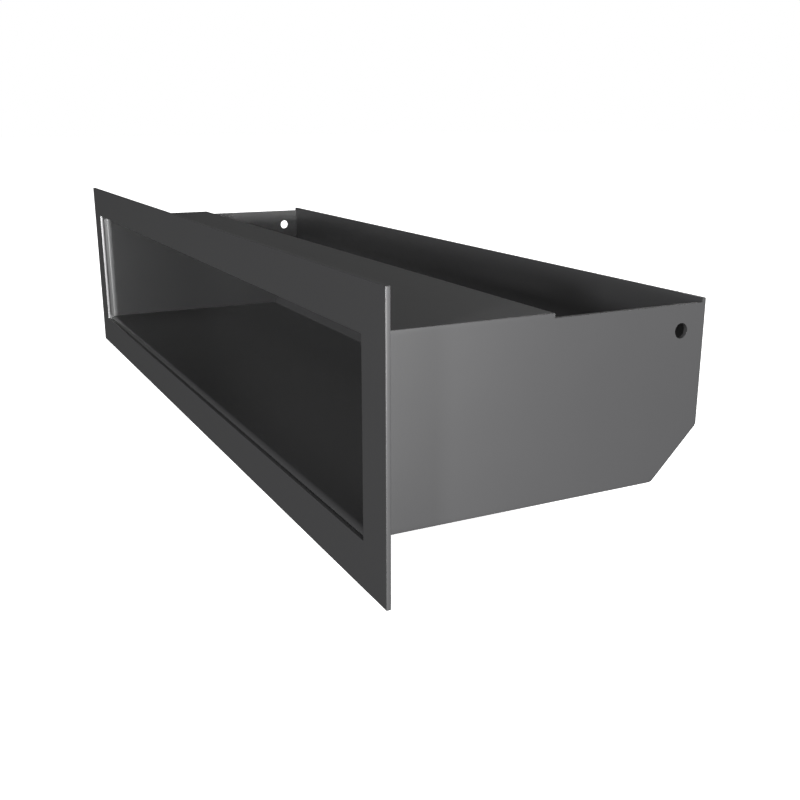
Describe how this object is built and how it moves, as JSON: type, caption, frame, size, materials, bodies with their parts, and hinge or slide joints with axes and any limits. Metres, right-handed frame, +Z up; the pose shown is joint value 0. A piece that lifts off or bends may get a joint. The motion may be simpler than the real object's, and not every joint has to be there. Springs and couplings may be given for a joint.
{
  "type": "recessed slot vent box",
  "caption": "Wall-recessed sheet-steel slot box: flat rectangular frame round an open slot, and a housing open at the rear top, so air or a flat item turns up or drops behind the wall.",
  "frame": {"origin": "middle of the floor's front flange, on its rear face, which rests on the wall", "axes": "+X to the right seen from the front, along the slot; +Y into the wall, normal to the flanges' rear faces; +Z up"},
  "size_m": [0.39, 0.1215, 0.09],
  "materials": {
    "powder_coat": "satin graphite powder coat with a very fine texture"
  },
  "bodies": {
    "root": {"front_frame": "powder_coat", "folded_back": "powder_coat", "top_plate": "powder_coat", "end_panel_left": "powder_coat", "end_panel_right": "powder_coat"}
  },
  "joints": []
}
